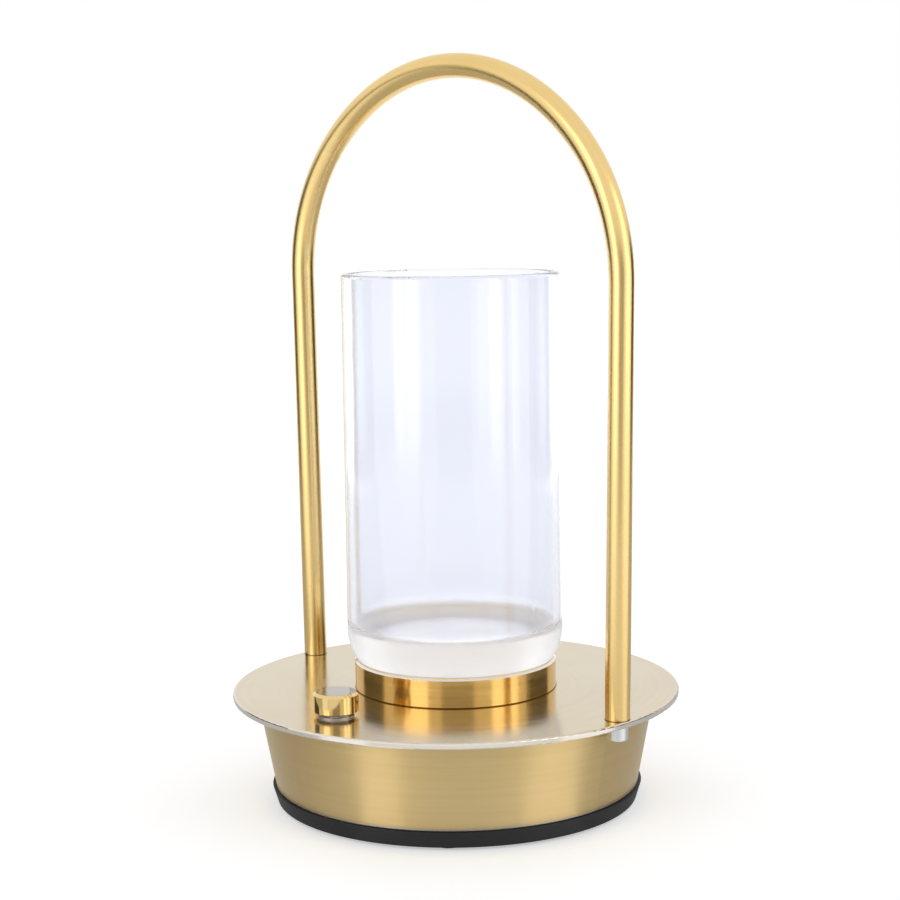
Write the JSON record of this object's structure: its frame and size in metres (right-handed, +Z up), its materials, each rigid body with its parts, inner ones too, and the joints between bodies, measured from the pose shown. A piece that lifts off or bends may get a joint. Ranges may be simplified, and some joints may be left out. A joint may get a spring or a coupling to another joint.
{
  "type": "lantern table lamp",
  "caption": "Cordless lantern table lamp: clear glass cylinder in a collar on a round plate, tapered drum base, tall arched tube handle and a push-and-turn dimmer knob.",
  "frame": {"origin": "centre of the base on the surface that the foot pads stand on", "axes": "+Z up along the glass, handle in the XZ plane, dimmer knob towards -Y, charging socket towards +Y"},
  "size_m": [0.1532, 0.15, 0.248],
  "materials": {
    "brushed_brass": "brushed, clear-coated",
    "polished_brass": "polished",
    "clear_glass": "clear, fire-polished rim",
    "opal_diffuser": "opal",
    "clear_silicone": "translucent",
    "black_rubber": "matte",
    "bright_steel": "nickel-plated",
    "zinc_steel": "zinc-plated sheet",
    "white_board": "white solder mask",
    "led_phosphor": "phosphor",
    "green_board": "solder mask",
    "black_plastic": "moulded",
    "white_plastic": "moulded",
    "cell_sleeve": "shrink sleeve over a steel can",
    "lead_sheath": "soft sheath"
  },
  "bodies": {
    "lamp": {"top_plate": "brushed_brass", "plate_studs": "bright_steel", "base_drum": "brushed_brass", "stand_offs": "zinc_steel", "bottom_plate": "zinc_steel", "bottom_screws": "zinc_steel", "rubber_foot_ring": "black_rubber", "foot_pads": "black_rubber", "handle_tube": "brushed_brass", "handle_inserts": "zinc_steel", "handle_screws": "bright_steel", "glass_collar": "brushed_brass", "collar_screws": "zinc_steel", "led_board": "white_board", "led_chips": "led_phosphor", "led_board_screws": "zinc_steel", "diffuser_disc": "opal_diffuser", "glass_gasket": "clear_silicone", "glass_cylinder": "clear_glass", "wire_grommet": "black_rubber", "encoder_bushing": "zinc_steel", "encoder_body": "black_plastic", "encoder_washer": "bright_steel", "encoder_nut": "bright_steel", "switch_dome": "zinc_steel", "battery_holder": "black_plastic", "battery_cells": "cell_sleeve", "battery_contacts": "bright_steel", "holder_screws": "zinc_steel", "control_board": "green_board", "board_spacers": "white_plastic", "board_screws": "zinc_steel", "driver_chip": "black_plastic", "power_coil": "black_plastic", "lead_plugs": "white_plastic", "charging_socket": "bright_steel", "socket_bezel": "black_plastic", "led_lead": "lead_sheath", "encoder_lead": "lead_sheath", "battery_lead": "lead_sheath"},
    "plunger": {"switch_plunger": "white_plastic"},
    "knob": {"dimmer_knob": "polished_brass", "encoder_shaft": "zinc_steel"}
  },
  "joints": [
    {"name": "knob_press", "type": "slide", "parent": "lamp", "child": "plunger", "axis": [0, 0, -1], "range_m": [0, 0.0005], "stiffness_N_per_m": 3000, "springref_m": -0.0002, "deforming": ["switch_dome"]},
    {"name": "knob_turn", "type": "hinge", "parent": "plunger", "child": "knob", "pos_m": [0, -0.0552, 0.0445], "axis": [0, 0, 1], "continuous": true}
  ]
}
